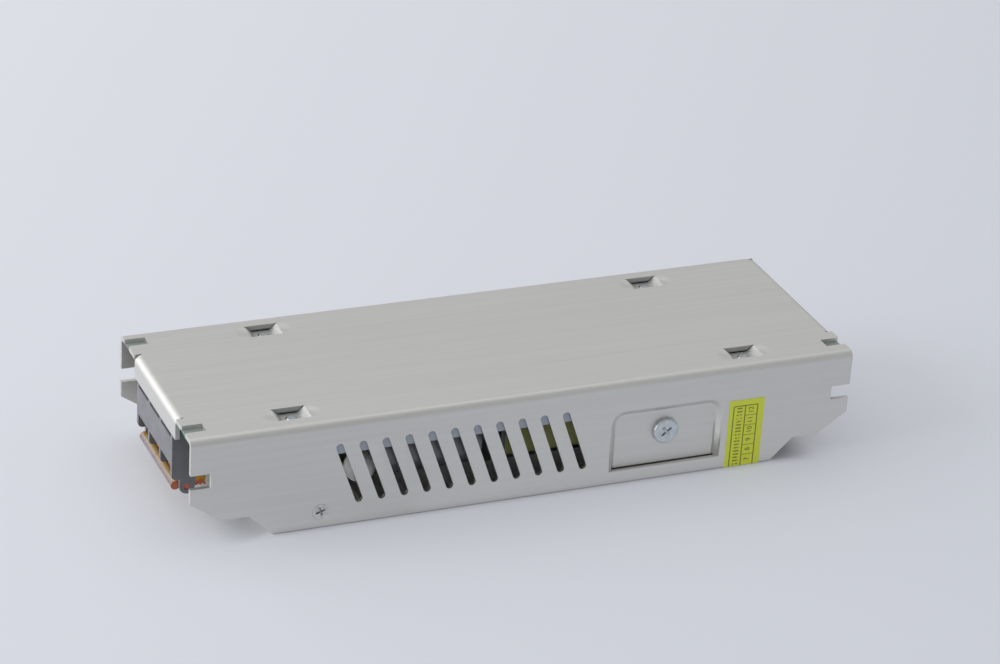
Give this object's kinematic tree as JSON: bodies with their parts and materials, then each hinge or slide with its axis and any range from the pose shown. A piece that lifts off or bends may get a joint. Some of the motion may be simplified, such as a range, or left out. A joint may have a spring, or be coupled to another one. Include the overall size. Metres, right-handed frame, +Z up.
{
  "type": "led power supply",
  "caption": "Slim switching power supply in a folded aluminium channel, open at both ends, with slanted side vents, screw terminals under hinged amber covers and a ruled seal sticker.",
  "frame": {"origin": "centre of the footprint, on the cover's outer face", "axes": "+X from the input end to the output end, +Z up to the mounting web"},
  "size_m": [0.188, 0.0631, 0.0305],
  "materials": {
    "case_aluminium": "satin brushed along the length",
    "insulating_film": "thin, pale, slightly see-through",
    "board_green": "green lacquered laminate",
    "zinc_screw": "bright zinc plated",
    "seal_yellow": "printed paper sticker, yellow-green",
    "terminal_black": "moulded, fine grain",
    "terminal_metal": "nickel plated",
    "cover_amber": "amber, see-through",
    "fuse_ceramic": "pale with metal caps",
    "thermistor_green": "dipped coating",
    "capacitor_yellow": "moulded box",
    "core_green": "coated ring core",
    "copper_wire": "lacquered copper",
    "package_black": "moulded package",
    "adhesive_white": "set silicone",
    "capacitor_sleeve": "shrunk sleeve",
    "pad_grey": "heat pad",
    "ferrite": "sintered",
    "winding_tape": "yellow tape",
    "core_yellow": "painted powder core",
    "coupler_white": "moulded package",
    "disc_blue": "dipped coating",
    "trimmer_blue": "moulded",
    "rotor_white": "moulded",
    "lamp_green": "tinted lens"
  },
  "bodies": {
    "case": {"chassis": "case_aluminium", "bottom_cover": "case_aluminium", "insulating_sheet": "insulating_film", "circuit_board": "board_green", "board_screws": "zinc_screw", "cover_screws": "zinc_screw", "seal_sticker": "seal_yellow", "input_terminal_block": "terminal_black", "input_contacts": "terminal_metal", "input_clamp_washers": "terminal_metal", "input_terminal_screws": "terminal_metal", "output_terminal_block": "terminal_black", "output_contacts": "terminal_metal", "output_clamp_washers": "terminal_metal", "output_terminal_screws": "terminal_metal", "fuse": "fuse_ceramic", "thermistor": "thermistor_green", "line_filter_capacitor": "capacitor_yellow", "choke_core": "core_green", "choke_windings": "copper_wire", "bridge_rectifier": "package_black", "adhesive_bead": "adhesive_white", "bulk_capacitor_near": "capacitor_sleeve", "bulk_capacitor_middle": "capacitor_sleeve", "switch_transistors": "package_black", "switch_pad": "pad_grey", "switch_clamp_bar": "zinc_screw", "switch_clamp_screw": "zinc_screw", "switch_clamp_nut": "zinc_screw", "transformer_core": "ferrite", "transformer_bobbin": "terminal_black", "transformer_winding": "winding_tape", "output_rectifiers": "package_black", "rectifier_pad": "pad_grey", "rectifier_clamp_bar": "zinc_screw", "rectifier_clamp_screw": "zinc_screw", "rectifier_clamp_nut": "zinc_screw", "inductor_core": "core_yellow", "inductor_winding": "copper_wire", "output_capacitors": "capacitor_sleeve", "control_chip": "package_black", "optocouplers": "coupler_white", "safety_capacitor": "disc_blue", "trimmer_body": "trimmer_blue", "indicator_lamp": "lamp_green"},
    "input_cover": {"input_terminal_cover": "cover_amber"},
    "output_cover": {"output_terminal_cover": "cover_amber"},
    "trimmer_spindle": {"trimmer_rotor": "rotor_white"}
  },
  "joints": [
    {"name": "input_cover_hinge", "type": "hinge", "parent": "case", "child": "input_cover", "pos_m": [-0.0897, 0, 0.0085], "axis": [0, -1, 0], "range_deg": [0, 80]},
    {"name": "output_cover_hinge", "type": "hinge", "parent": "case", "child": "output_cover", "pos_m": [0.0897, 0, 0.0085], "axis": [0, 1, 0], "range_deg": [0, 80]},
    {"name": "trimmer_turn", "type": "hinge", "parent": "case", "child": "trimmer_spindle", "pos_m": [0.085, 0.02502, 0.0209], "axis": [0, 0, -1], "range_deg": [-130, 130]}
  ]
}
